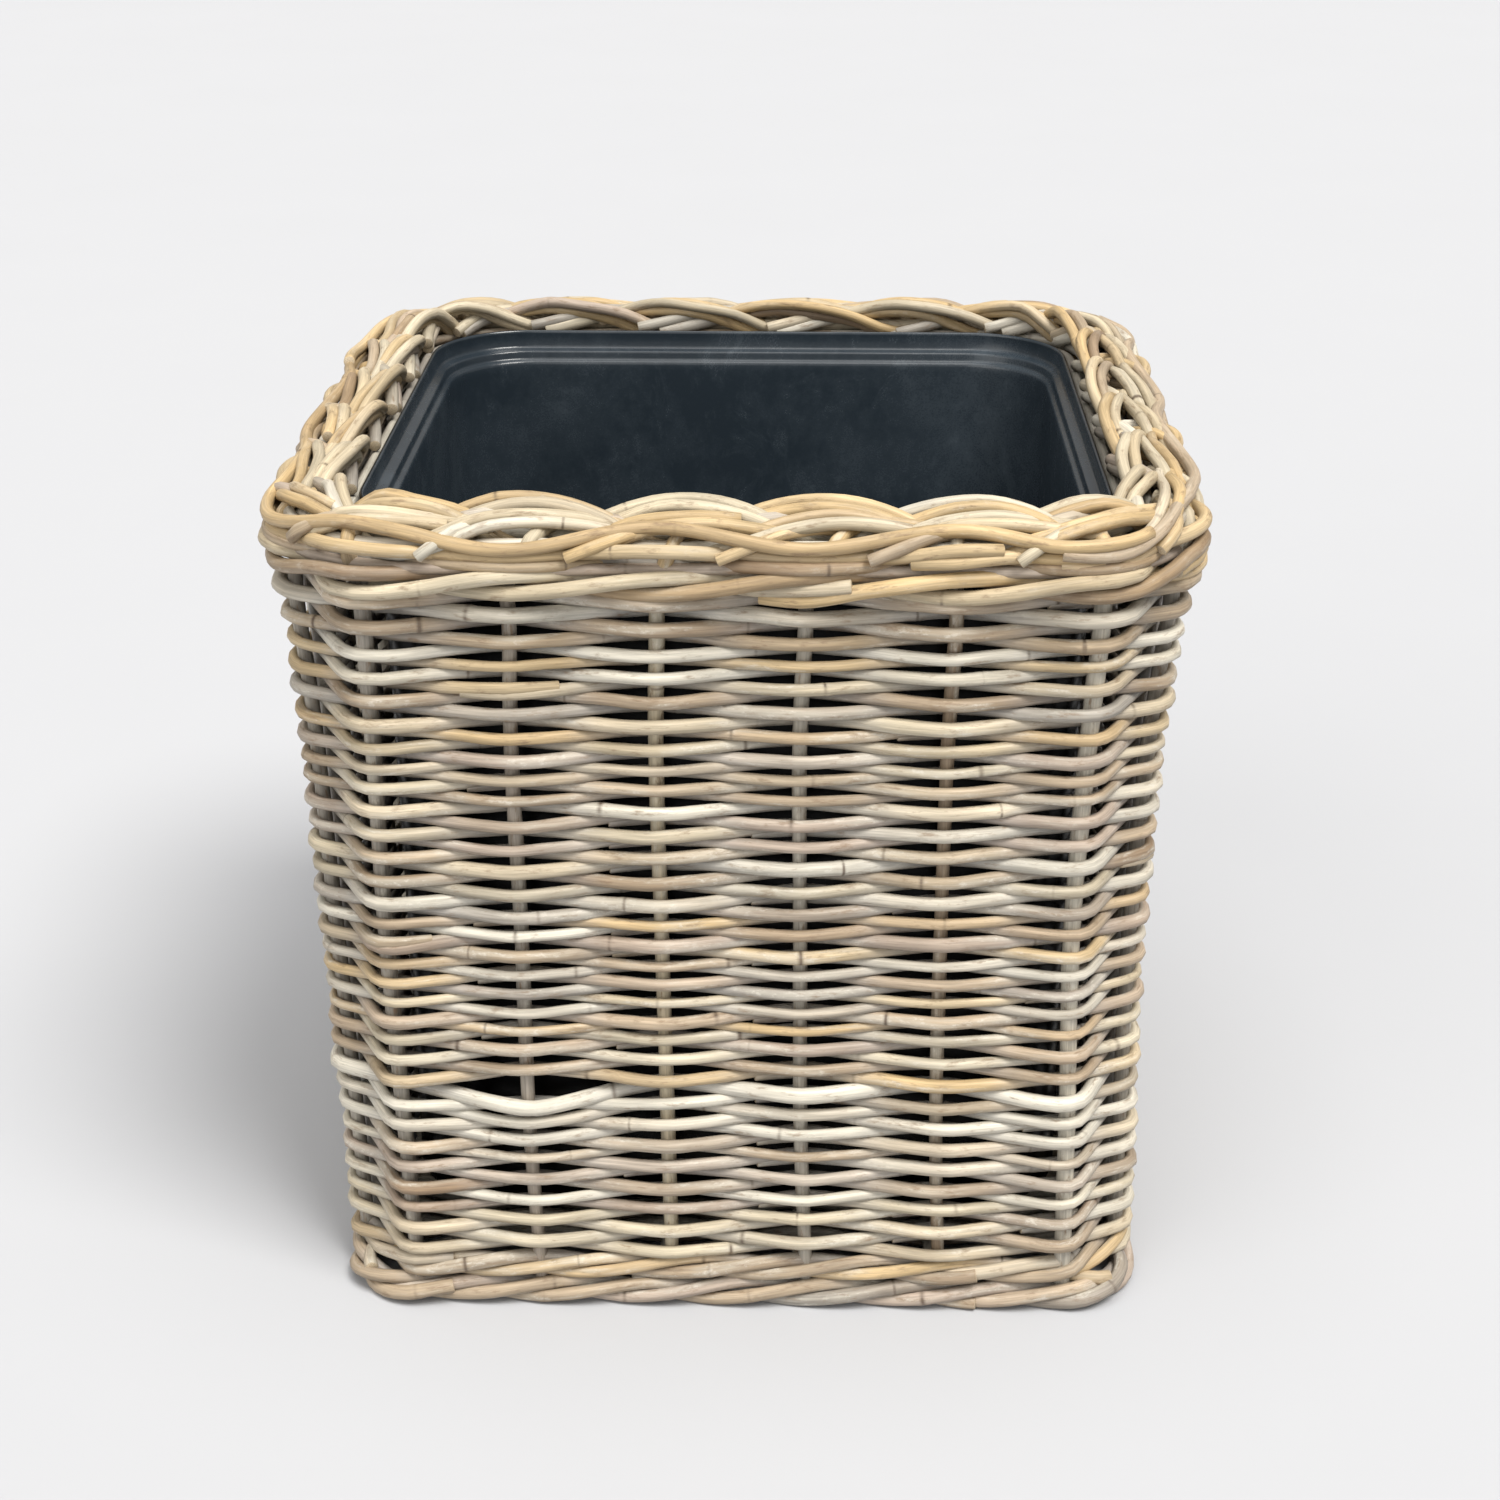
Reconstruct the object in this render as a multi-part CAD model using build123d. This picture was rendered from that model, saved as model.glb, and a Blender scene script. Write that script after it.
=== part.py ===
from build123d import *
import os
from math import sqrt

# Square woven log basket of rattan cane with a lift-out moulded plastic liner.
# Millimetres. Origin on the floor under the middle of the basket, +Z up, front facing -Y.

# Overall size
WIDTH = 510.0            # across the plaited rim, the same both ways
HEIGHT = 490.0

# Plaited rim
RIM_BAND = 49.0          # from the rim's outer edge to the opening
RIM_DEPTH = 24.0
RIM_CORNER = 110.0       # plan radius of the rim's outer corners
RIM_ROUND = 11.0         # rounding of the rim's own section

# Woven wall
WALL_FACE = 236.0        # from the centre to the outer face of the weave
WALL_THICK = 24.0        # a rod, a stake and a rod
WALL_CORNER = 55.0       # plan radius of the wall's outer corners
WALE_HEIGHT = 21.0       # three thick rods that lock the stakes under the rim
WALE_ROWS = 3
WALE_PROUD = 6.0         # how far the top wale stands out of the weave
WALE_BULGE = 2.0

# Foot border
FOOT_HEIGHT = 33.0
FOOT_ROWS = 3
FOOT_BAND = 27.0
FOOT_BULGE = 1.8

# Stakes: four in each straight side and one at each end of it, in the corner
STAKE_RADIUS = 4.8
STAKE_FIT = 0.1          # play of a stake in the weave
STAKE_PLACES = (-188.0, -115.5, -38.5, 38.5, 115.5, 188.0)
STAKE_BOTTOM = 14.0

# Base
BASE_BOTTOM = 14.0
BASE_THICK = 24.0
BASE_CLEAR = 0.5         # gap between the base weave and the foot border
STICK_RADIUS = 5.0
STICK_FIT = 0.1
STICK_BURIED = 6.0       # how far a base stick's end goes into the foot border
STICK_END_GAP = 1.0      # depth left in the bore past the stick's end

# Liner: half widths of its outside, with the plan radius of its corners, at five heights
LINER_LIFT = 0.4         # clearance over the base weave
LINER_WALL = 2.5
LINER_FLOOR_HALF = 176.0
LINER_FLOOR_CORNER = 30.0
LINER_HEEL_RISE = 14.0   # height of the rounded heel between floor and wall
LINER_FOOT_HALF = 190.0
LINER_FOOT_CORNER = 42.0
LINER_TOP_HALF = 197.5
LINER_TOP_CORNER = 55.0
LINER_COLLAR_HALF = 204.0
LINER_COLLAR_CORNER = 60.0
LINER_SHOULDER_RISE = 10.0
LINER_COLLAR_HEIGHT = 10.0

# Heights that follow from the sizes above
RIM_BOTTOM = HEIGHT - RIM_DEPTH
WALE_BOTTOM = RIM_BOTTOM - WALE_HEIGHT
BASE_TOP = BASE_BOTTOM + BASE_THICK
STICK_HEIGHT = BASE_BOTTOM + BASE_THICK / 2
WALL_CENTRE = WALL_FACE - WALL_CORNER    # plan centre of each corner's arcs
RIM_CENTRE = WIDTH / 2 - RIM_CORNER
WALL_INSIDE = WALL_FACE - WALL_THICK
STAKE_LINE = WALL_FACE - WALL_THICK / 2  # line of the stakes along a straight side

SIDES = ("right", "back", "left", "front")
CORNERS = ("back_right", "back_left", "front_left", "front_right")


def stacked_section(inner, outer, bottom, top, rows, bulge):
    """Upright section of a woven band: one bulge to each rod, on both faces."""
    pitch = (top - bottom) / rows
    edges = Line((inner, bottom), (outer, bottom)) + Line((inner, top), (outer, top))
    for row in range(rows):
        low = bottom + row * pitch
        high = low + pitch
        middle = (low + high) / 2
        edges += ThreePointArc((outer, low), (outer + bulge, middle), (outer, high))
        edges += ThreePointArc((inner, low), (inner - bulge, middle), (inner, high))
    return make_face(edges)


def plain_section(inner, outer, bottom, top):
    """Upright section of a band with flat faces."""
    return Pos(inner, bottom) * Rectangle(outer - inner, top - bottom, align=Align.MIN)


def straight_run(section, centre):
    """The section carried along one straight side, facing +X."""
    return extrude(Plane.XZ * section, amount=centre, both=True)


def corner_run(section, centre):
    """The section turned through a quarter circle at the corner towards +X +Y."""
    plane = Plane(origin=(0, centre, 0), x_dir=(1, 0, 0), z_dir=(0, -1, 0))
    axis = Axis((centre, centre, 0), (0, 0, 1))
    return revolve(plane * section, axis=axis, revolution_arc=90)


def stake_point(place):
    """Plan position of a stake on the +X side, on the line of the stakes."""
    beyond = abs(place) - WALL_CENTRE
    if beyond <= 0:
        return STAKE_LINE, place
    radius = WALL_CORNER - WALL_THICK / 2
    return WALL_CENTRE + sqrt(radius ** 2 - beyond ** 2), place


def upright(place, radius, bottom, top):
    """Upright cylinder at a stake's place on the +X side."""
    x, y = stake_point(place)
    post = Cylinder(radius, top - bottom, align=(Align.CENTER, Align.CENTER, Align.MIN))
    return Pos(x, y, bottom) * post


def stake_bores(bottom, top):
    """The bores of all stakes, between two heights."""
    bores = []
    for side in range(len(SIDES)):
        for place in STAKE_PLACES:
            bore = upright(place, STAKE_RADIUS + STAKE_FIT, bottom, top)
            bores.append(Rot(0, 0, 90 * side) * bore)
    return bores


def along_base(x, radius, half_length):
    """Cylinder along Y at the height of the base sticks."""
    return Pos(x, 0, STICK_HEIGHT) * Rot(90, 0, 0) * Cylinder(radius, 2 * half_length)


def closed_ring(section, centre):
    """One ring of four straight runs and four corner runs."""
    ring = Part()
    for turn in range(4):
        ring += Rot(0, 0, 90 * turn) * straight_run(section, centre)
        ring += Rot(0, 0, 90 * turn) * corner_run(section, centre)
    return ring


def make_stakes():
    nodes = {}
    for turn, side in enumerate(SIDES):
        for number, place in enumerate(STAKE_PLACES, start=1):
            stake = upright(place, STAKE_RADIUS, STAKE_BOTTOM, RIM_BOTTOM)
            nodes[f"stake_{side}_{number}"] = Rot(0, 0, 90 * turn) * stake
    return nodes


def make_wall():
    section = plain_section(WALL_INSIDE, WALL_FACE, FOOT_HEIGHT, WALE_BOTTOM)
    straight = straight_run(section, WALL_CENTRE)
    corner = corner_run(section, WALL_CENTRE)
    nodes = {}
    bore_radius = STAKE_RADIUS + STAKE_FIT
    for place in STAKE_PLACES:
        bore = upright(place, bore_radius, FOOT_HEIGHT, WALE_BOTTOM)
        straight -= bore
        corner -= bore
        corner -= Rot(0, 0, 90) * bore
    for turn in range(4):
        nodes[f"side_weave_{SIDES[turn]}"] = Rot(0, 0, 90 * turn) * straight
        nodes[f"corner_weave_{CORNERS[turn]}"] = Rot(0, 0, 90 * turn) * corner
    return nodes


def make_top_wale():
    section = stacked_section(
        WALL_INSIDE, WALL_FACE + WALE_PROUD, WALE_BOTTOM, RIM_BOTTOM, WALE_ROWS, WALE_BULGE
    )
    ring = closed_ring(section, WALL_CENTRE)
    for bore in stake_bores(WALE_BOTTOM, RIM_BOTTOM):
        ring -= bore
    return {"top_wale": ring}


def make_rim():
    middle = (WIDTH - RIM_BAND) / 2
    section = Pos(middle, HEIGHT - RIM_DEPTH / 2) * RectangleRounded(RIM_BAND, RIM_DEPTH, RIM_ROUND)
    straight = straight_run(section, RIM_CENTRE)
    corner = corner_run(section, RIM_CENTRE)
    nodes = {}
    for turn in range(4):
        nodes[f"rim_{SIDES[turn]}"] = Rot(0, 0, 90 * turn) * straight
        nodes[f"rim_corner_{CORNERS[turn]}"] = Rot(0, 0, 90 * turn) * corner
    return nodes


def make_foot():
    section = stacked_section(
        WALL_FACE - FOOT_BAND, WALL_FACE - FOOT_BULGE, 0, FOOT_HEIGHT, FOOT_ROWS, FOOT_BULGE
    )
    ring = closed_ring(section, WALL_CENTRE)
    for bore in stake_bores(STAKE_BOTTOM, FOOT_HEIGHT):
        ring -= bore
    bore_half = WALL_FACE - FOOT_BAND + STICK_BURIED + STICK_END_GAP
    for x in STAKE_PLACES:
        ring -= along_base(x, STICK_RADIUS + STICK_FIT, bore_half)
    return {"foot_border": ring}


def make_base():
    half = WALL_FACE - FOOT_BAND - FOOT_BULGE - BASE_CLEAR
    outline = RectangleRounded(2 * half, 2 * half, half - WALL_CENTRE)
    panel = extrude(Pos(0, 0, BASE_BOTTOM) * outline, amount=BASE_THICK)
    nodes = {}
    stick_half = WALL_FACE - FOOT_BAND + STICK_BURIED
    for number, x in enumerate(STAKE_PLACES, start=1):
        panel -= along_base(x, STICK_RADIUS + STICK_FIT, WALL_FACE)
        nodes[f"base_stick_{number}"] = along_base(x, STICK_RADIUS, stick_half)
    nodes["base_weave"] = panel
    return nodes


def tub(levels):
    """Solid through rounded squares, each given as half width, corner radius and height."""
    outlines = []
    for half, corner, z in levels:
        outlines.append(Pos(0, 0, z) * RectangleRounded(2 * half, 2 * half, corner))
    return loft(outlines, ruled=True)


def make_liner():
    bottom = BASE_TOP + LINER_LIFT
    heel = bottom + LINER_HEEL_RISE
    collar = RIM_BOTTOM - LINER_COLLAR_HEIGHT
    shoulder = collar - LINER_SHOULDER_RISE
    outside = (
        (LINER_FLOOR_HALF, LINER_FLOOR_CORNER, bottom),
        (LINER_FOOT_HALF, LINER_FOOT_CORNER, heel),
        (LINER_TOP_HALF, LINER_TOP_CORNER, shoulder),
        (LINER_COLLAR_HALF, LINER_COLLAR_CORNER, collar),
        (LINER_COLLAR_HALF, LINER_COLLAR_CORNER, RIM_BOTTOM),
    )
    rise = LINER_WALL / 2
    inside = []
    for half, corner, z in outside:
        inside.append((half - LINER_WALL, corner - LINER_WALL, z + rise))
    inside[0] = (inside[0][0], inside[0][1], bottom + LINER_WALL)
    return {"liner": tub(outside) - tub(inside)}


def main():
    nodes = {}
    for make in (make_stakes, make_wall, make_top_wale, make_rim, make_foot, make_base, make_liner):
        nodes.update(make())
    os.makedirs("parts", exist_ok=True)
    for name, shape in nodes.items():
        export_step(shape, f"parts/{name}.step")


main()
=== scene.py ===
from math import asin, cos, pi, radians, sin, sqrt, tan

import bpy
import numpy as np
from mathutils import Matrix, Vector


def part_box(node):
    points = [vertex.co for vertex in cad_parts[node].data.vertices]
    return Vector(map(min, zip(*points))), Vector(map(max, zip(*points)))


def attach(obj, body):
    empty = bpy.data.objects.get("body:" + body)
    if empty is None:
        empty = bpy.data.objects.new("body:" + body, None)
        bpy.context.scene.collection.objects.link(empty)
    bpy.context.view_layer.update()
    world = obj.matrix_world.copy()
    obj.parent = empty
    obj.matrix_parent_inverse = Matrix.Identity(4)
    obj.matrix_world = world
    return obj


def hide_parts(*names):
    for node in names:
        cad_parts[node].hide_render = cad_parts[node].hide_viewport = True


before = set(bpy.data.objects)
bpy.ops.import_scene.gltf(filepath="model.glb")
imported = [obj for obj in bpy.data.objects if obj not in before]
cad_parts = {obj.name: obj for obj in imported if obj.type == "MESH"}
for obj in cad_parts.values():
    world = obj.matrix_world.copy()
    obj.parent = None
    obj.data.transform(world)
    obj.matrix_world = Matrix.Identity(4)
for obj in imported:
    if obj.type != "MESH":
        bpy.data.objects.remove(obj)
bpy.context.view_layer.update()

# A square log basket of woven rattan cane with a plaited rim and a moulded liner.
# Lengths inside this script are millimetres until a mesh is made, which is in metres.
MM = 0.001
UP = np.array((0.0, 0.0, 1.0))
SIDES = ("front", "right", "back", "left")      # anticlockwise, seen from above
CORNERS = ("front_right", "back_right", "back_left", "front_left")
PER_SIDE = 6
STAKES = 4 * PER_SIDE

# Each part of the basket draws its random values from a seed of its own
SEEDS = {"wall": 11, "stakes": 23, "plait": 37, "rails": 41, "ends": 43, "wale": 47, "foot": 53,
         "base": 59}


def node_box(node):
    """Lowest and highest corner of a CAD node, in millimetres."""
    low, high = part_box(node)
    return np.array(low) / MM, np.array(high) / MM


# ---------------------------------------------------------------- measures from the frame

WALL_LOW, WALL_HIGH = node_box("side_weave_front")
RIM_LOW, RIM_HIGH = node_box("rim_front")
WALE_LOW, WALE_HIGH = node_box("top_wale")
FOOT_LOW, FOOT_HIGH = node_box("foot_border")
BASE_LOW, BASE_HIGH = node_box("base_weave")
LINER_LOW, LINER_HIGH = node_box("liner")
STICK_LOW, STICK_HIGH = node_box("base_stick_1")

WALL_BOTTOM, WALL_TOP = WALL_LOW[2], WALL_HIGH[2]
STAKE_LINE = -(WALL_LOW[1] + WALL_HIGH[1]) / 2
RIM_LINE = -(RIM_LOW[1] + RIM_HIGH[1]) / 2

# A handmade basket stands a little out of true: shift to the right against height
SWAY = ((0.0, 3.5), (60.0, 2.5), (170.0, -0.5), (250.0, -2.0), (360.0, -1.5), (445.0, 0.0))


class Track:
    """A square with its corners cut back, seen from above and walked anticlockwise.

    cut is how much of each side a corner takes, and kink is the radius of the two bends
    at the ends of a cut, each of them an eighth of a turn.
    """

    def __init__(self, half, cut, kink):
        self.half = half
        self.kink = kink
        tangent = kink * tan(pi / 8)
        self.reach = half - cut - tangent
        self.bend = kink * pi / 4
        self.flat = cut * sqrt(2) - 2 * tangent
        self.quarter = 2 * self.reach + 2 * self.bend + self.flat
        self.length = 4 * self.quarter
        self.stations = self.place_stakes()

    def at(self, s):
        """Plan point and outward normal at each distance s from the start of the front side."""
        s = np.mod(np.asarray(s, float), self.length)
        side = np.floor(s / self.quarter)
        local = s - side * self.quarter
        past = local - 2 * self.reach
        first = np.clip(past / self.kink, 0, pi / 4)
        second = np.clip((past - self.bend - self.flat) / self.kink, 0, pi / 4) + pi / 4
        slant = np.clip(past - self.bend, 0, self.flat) * sin(pi / 4)
        x = np.minimum(local, 2 * self.reach) - self.reach + slant
        x = x + self.kink * (np.sin(first) + np.sin(second) - sin(pi / 4))
        y = slant - self.half + self.kink * (1 - np.cos(first) + cos(pi / 4) - np.cos(second))
        turn = first + second - pi / 4
        c, n = np.cos(side * pi / 2), np.sin(side * pi / 2)
        point = np.stack((c * x - n * y, n * x + c * y), -1)
        turn = turn + side * pi / 2
        return point, np.stack((np.sin(turn), -np.cos(turn)), -1)

    def place_stakes(self):
        """Distance along the track of the stakes, in order, read from the CAD stakes."""
        steps = np.arange(0, self.length, 0.25)
        points = self.at(steps)[0]
        corner = self.quarter / 2 - self.reach
        stations = []
        for side in SIDES:
            for number in range(1, PER_SIDE + 1):
                low, high = node_box(f"stake_{side}_{number}")
                away = np.linalg.norm(points - (low[:2] + high[:2]) / 2, axis=1)
                stations.append((steps[np.argmin(away)] + corner) % self.length - corner)
        return np.sort(stations)

    def distance(self, index):
        """Distance along the track at a stake number, which may be a fraction or past the end."""
        index = np.asarray(index, float)
        laps = np.floor(index / STAKES)
        whole = np.append(self.stations, self.stations[0] + self.length)
        return laps * self.length + np.interp(index - laps * STAKES, np.arange(STAKES + 1), whole)

    def space(self, index, offset, z):
        """Points at stake numbers, offset outward from the track, at heights z."""
        point, normal = self.at(self.distance(index))
        plan = point + normal * np.asarray(offset)[..., None]
        plan[..., 0] += np.interp(z, *zip(*SWAY))
        return np.concatenate((plan, np.broadcast_to(z, plan.shape[:-1])[..., None]), -1)


STAKE_LOW, STAKE_HIGH = node_box(f"stake_front_{PER_SIDE}")
LAST_STAKE = (STAKE_LOW[0] + STAKE_HIGH[0]) / 2
ROUND = sqrt(2) * tan(pi / 8)                    # the cut of a corner that is one full curve
RIM_BEND = 67.0                                  # plan radius of the rim's middle line
WALL_KINK = 11.0                                 # plan radius of a bend round a corner stake
WALL = Track(STAKE_LINE, STAKE_LINE - LAST_STAKE, WALL_KINK)
RIM = Track(RIM_LINE, ROUND * RIM_BEND, RIM_BEND)


# ---------------------------------------------------------------- rods

# Linear colours of weathered natural cane
CREAM = (0.51, 0.445, 0.325)
WHITE = (0.59, 0.555, 0.47)
BEIGE = (0.40, 0.315, 0.22)
PINK = (0.41, 0.335, 0.27)
GREY = (0.34, 0.312, 0.27)
HONEY = (0.52, 0.38, 0.20)
BROWN = (0.27, 0.19, 0.12)
# Painted shade: the grey that rods take where they lie deep in the weave
PAINTED_SHADE_GREY = (0.34, 0.335, 0.335)
SHADES = np.array((CREAM, WHITE, BEIGE, PINK, GREY, HONEY, BROWN))
# How common each shade is among the rods of each part of the basket, in the same order
WALL_MIX = (5, 3, 6, 3, 2, 4, 1.8)
PALE_MIX = (4, 7, 3, 3, 3, 1, 0.5)
STAKE_MIX = (1, 3, 2, 1, 7, 0, 0.4)
RIM_MIX = (6, 0.7, 3, 0.3, 0, 13, 0.8)
RAIL_MIX = (4, 0.2, 3, 0.3, 0, 10, 1)
FOOT_MIX = (3, 1.5, 5, 4, 2.5, 3, 1.2)
STUB_MIX = (2, 5, 1, 1, 4, 0, 0)
RUNG_MIX = (6, 1.5, 2, 1, 0, 7, 0)
SAG_MIX = (1, 9, 0, 0, 0, 0, 0)

SECTION = 12                 # sides of a rod
STEP = 7.0                   # spacing of a rod's rings along its length
BEVEL = 0.35                 # length of the small bevel at a cut end
BEVEL_SHARE = 0.86           # thickness of the cut face, of the rod's
TAPER_LENGTH = 30.0          # stretch at each end of a rod that tapers
KNOT_CLEAR = 8.0             # a rod has no joint closer to its end than this
TIP_STRETCH = 45.0           # length of a stake that is coloured like the rim
TIP_FADE = 15.0              # length over which that colour comes in
PAINTED_SHADE_SHARE = 0.6          # how much of its colour a rod deep in the weave gives up to the painted shade grey
# Extra rings round a joint, which keep its narrow mark and swelling sharp
KNOT_RINGS = (-5.0, -2.4, -1.0, -0.35, 0.35, 1.0, 2.4, 5.0)


def wander(rng, along, wavelength):
    """Smooth random curve of about unit size over distances along."""
    total = np.zeros_like(along)
    for share in (1.0, 0.6, 0.37):
        total += share * np.sin(2 * pi * along / (wavelength * share) + rng.uniform(0, 2 * pi))
    return total / 1.4


def spline(a, b, c, d, t):
    """Catmull-Rom curve from b to c as t goes from 0 to 1."""
    return 0.5 * (2 * b + (c - a) * t + (2 * a - 5 * b + 4 * c - d) * t ** 2
                  + (3 * b - a - 3 * c + d) * t ** 3)


def through(points, samples):
    """Smooth line through guide points, with so many samples to a span."""
    p = np.asarray(points, float)
    p = np.concatenate((2 * p[:1] - p[1:2], p, 2 * p[-1:] - p[-2:-1]))
    t = np.linspace(0, 1, samples, endpoint=False)[None, :, None]
    line = spline(p[:-3, None], p[1:-2, None], p[2:-1, None], p[3:, None], t)
    return np.concatenate((line.reshape(-1, p.shape[1]), p[-2:-1]))


def measured(line):
    """Distance along a line at each of its points."""
    steps = np.linalg.norm(np.diff(line, axis=0), axis=1)
    return np.concatenate(((0,), np.cumsum(steps)))


def pick(rng, mix):
    """A shade at random, each as likely as the mix says."""
    weights = np.array(mix, float)
    return SHADES[rng.choice(len(SHADES), p=weights / weights.sum())]


def joint_places(rng, length, spacing):
    """Distances along a rod of its joints, at random between two spacings."""
    joints = []
    place = rng.uniform(0.15, 1.0) * spacing[1]
    while place < length - KNOT_CLEAR:
        joints.append(place)
        place += rng.uniform(*spacing)
    return joints


def ring_places(length, joints):
    """Distances along a rod of its rings: even, with more of them round each joint."""
    rings = np.linspace(0, length, max(3, int(length / STEP) + 1))
    if joints:
        near = (np.array(joints)[:, None] + np.array(KNOT_RINGS)).ravel()
        clear = np.abs(rings[:, None] - np.array(joints)).min(1) > KNOT_RINGS[-1] + 1
        rings = np.sort(np.concatenate((rings[clear], near[(near > 1) & (near < length - 1)])))
    return rings


def girth(rng, rings, joints, radius, taper):
    """Strength of the joint mark and radius of the rod at each ring."""
    knot = np.zeros_like(rings)
    swell = np.ones_like(rings)
    for joint in joints:
        gap = rings - joint
        knot += rng.uniform(0.25, 1.0) * np.exp(-(gap / rng.uniform(0.7, 1.5)) ** 2)
        swell += rng.uniform(0.04, 0.10) * np.exp(-(gap / 3.2) ** 2)
        swell -= 0.035 * np.exp(-(gap / 0.6) ** 2)
    thick = radius * swell * (1 + 0.035 * wander(rng, rings, 260.0))
    thick *= 1 + 0.018 * wander(rng, rings, 45.0)
    length = rings[-1]
    end = min(TAPER_LENGTH, length / 2)
    thick *= np.interp(rings, (0, end, length - end, length), (taper[0], 1, 1, taper[1]))
    return knot, thick


def shades(rng, rings, length, mix, deep, tip_mix):
    """Colour of a rod at each ring: one shade drifting towards another, turned grey with painted
    shade where the rod lies deep in the weave.
    """
    first, second = pick(rng, mix), pick(rng, mix)
    blend = np.clip(0.5 + 0.5 * wander(rng, rings, 420.0), 0, 1)[:, None]
    shade = first * (1 - 0.45 * blend) + second * 0.45 * blend
    shade = shade * (1 + 0.07 * wander(rng, rings, 90.0))[:, None] * rng.uniform(0.88, 1.08)
    if tip_mix is not None:
        late = np.clip((rings - length + TIP_STRETCH) / TIP_FADE, 0, 1)[:, None]
        shade = shade * (1 - late) + pick(rng, tip_mix) * late
    # painted shade: the deeper a ring lies in the weave, the more it turns to that grey
    hidden = PAINTED_SHADE_SHARE * deep[:, None]
    return shade * (1 - hidden) + np.array(PAINTED_SHADE_GREY) * hidden


def rod_faces(count):
    """Corner numbers of a rod's faces: quads of its skin, and the fans of its two cut ends.

    The skin's points come first, ring by ring, and then the middle of each cut end.
    """
    i = np.arange(count - 1)[:, None] * SECTION
    j = np.arange(SECTION)[None, :]
    k = (j + 1) % SECTION
    quads = np.stack(np.broadcast_arrays(i + j, i + k, i + k + SECTION, i + j + SECTION), -1)
    j, k = j[0], k[0]
    start = np.stack((k, j, np.full(SECTION, count * SECTION)), -1)
    last = (count - 1) * SECTION
    end = np.stack((last + j, last + k, np.full(SECTION, count * SECTION + 1)), -1)
    return quads.reshape(-1, 4), np.concatenate((start, end))


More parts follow.
